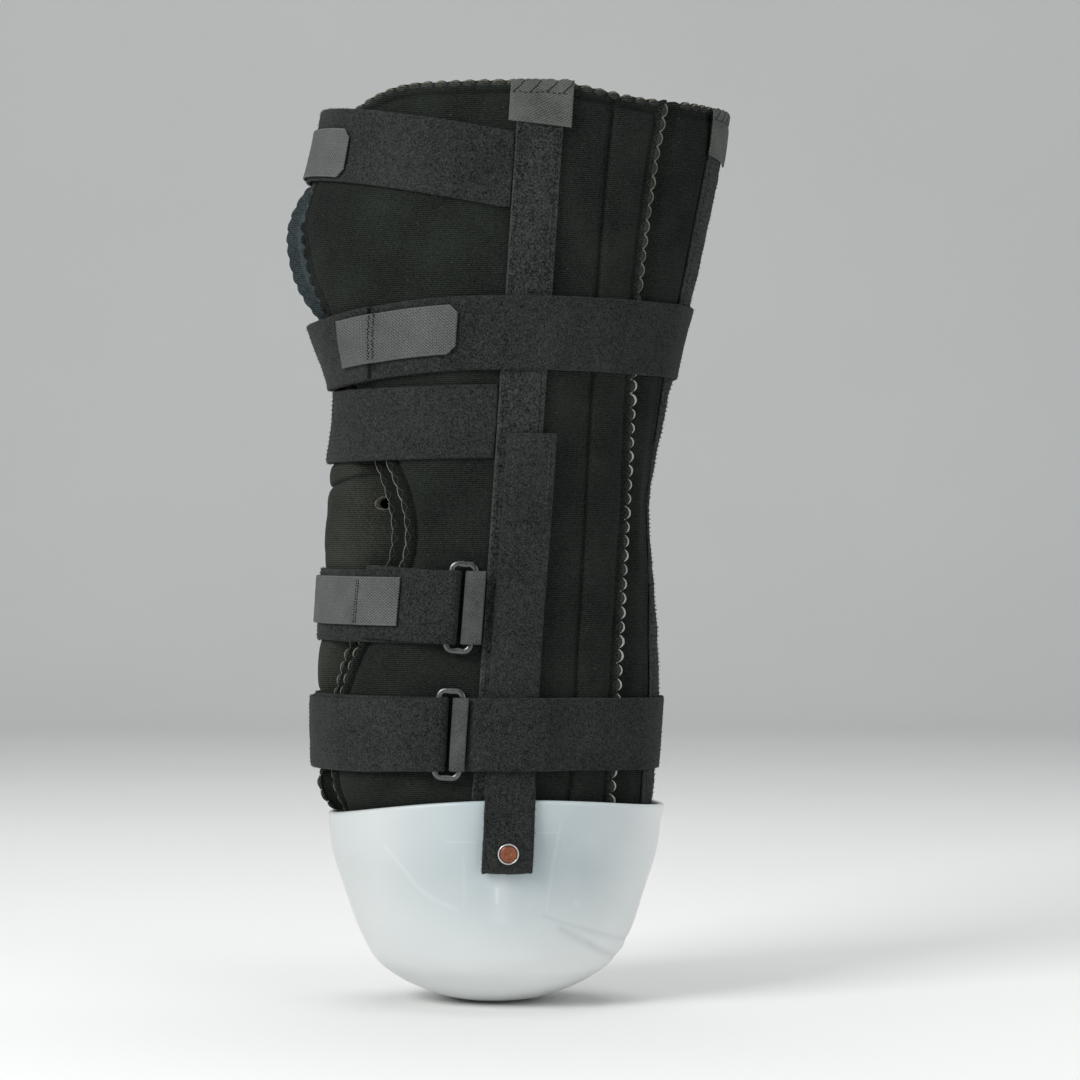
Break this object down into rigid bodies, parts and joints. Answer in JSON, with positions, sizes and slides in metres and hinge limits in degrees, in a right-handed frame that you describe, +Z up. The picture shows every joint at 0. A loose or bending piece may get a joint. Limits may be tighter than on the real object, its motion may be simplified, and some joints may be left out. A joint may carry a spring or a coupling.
{
  "type": "limb protector",
  "caption": "Padded below-knee sleeve with overlapping panels, ring-and-hook straps and a moulded plastic end cup, made to guard a residual limb after amputation",
  "frame": {"origin": "Middle of the inside floor of the end cup, where the end of the limb rests", "axes": "+Z runs up the limb from the cup to the open top, -X is the front of the limb and -Y its outer side, the side with the two rings in the picture"},
  "size_m": [0.2238, 0.1723, 0.4574],
  "materials": {
    "padding": "black knit laminated on foam, fine level ribs, matt",
    "tongue_padding": "dark olive grey knit laminated on foam, matt",
    "slate_binding": "slate blue soft binding, matt",
    "loop_tape": "coarse black loop tape, sewn down both margins",
    "brushed_strap": "black brushed loop strap with a short fuzzy pile",
    "grey_twill": "dark grey twill tape, slightly satin",
    "hook_tape": "mid grey hook tape with a fine dotted back",
    "milky_plastic": "milky white moulded plastic, smooth with light scuffs",
    "dark_metal": "dark grey metal wire, smooth",
    "copper": "copper coloured rivet head",
    "bright_metal": "bright metal washer"
  },
  "bodies": {
    "root": {"lateral_panel": "padding", "lateral_facing": "slate_binding", "lateral_stay_strip": "loop_tape", "lateral_pocket_tab": "grey_twill", "lateral_suspension_strap": "brushed_strap", "lateral_rivet": "copper", "lateral_rivet_washer": "bright_metal", "medial_panel": "padding", "medial_facing": "slate_binding", "medial_stay_strip": "loop_tape", "medial_pocket_tab": "grey_twill", "medial_suspension_strap": "brushed_strap", "medial_rivet": "copper", "medial_rivet_washer": "bright_metal", "posterior_panel": "padding", "posterior_stay_strip": "loop_tape", "posterior_pocket_tab": "grey_twill", "knee_tongue": "tongue_padding", "end_cup": "milky_plastic", "thigh_upper_strap": "brushed_strap", "thigh_upper_ring": "dark_metal", "thigh_upper_chape": "grey_twill", "thigh_upper_hook_tab": "hook_tape", "thigh_lower_strap": "brushed_strap", "thigh_lower_ring": "dark_metal", "thigh_lower_chape": "grey_twill", "thigh_lower_hook_tab": "hook_tape", "knee_strap": "brushed_strap", "knee_ring": "dark_metal", "knee_chape": "grey_twill", "knee_hook_tab": "hook_tape", "calf_upper_strap": "brushed_strap", "calf_upper_ring": "dark_metal", "calf_upper_chape": "grey_twill", "calf_upper_hook_tab": "hook_tape", "calf_lower_strap": "brushed_strap", "calf_lower_ring": "dark_metal", "calf_lower_chape": "grey_twill", "calf_lower_hook_tab": "hook_tape"}
  },
  "joints": []
}
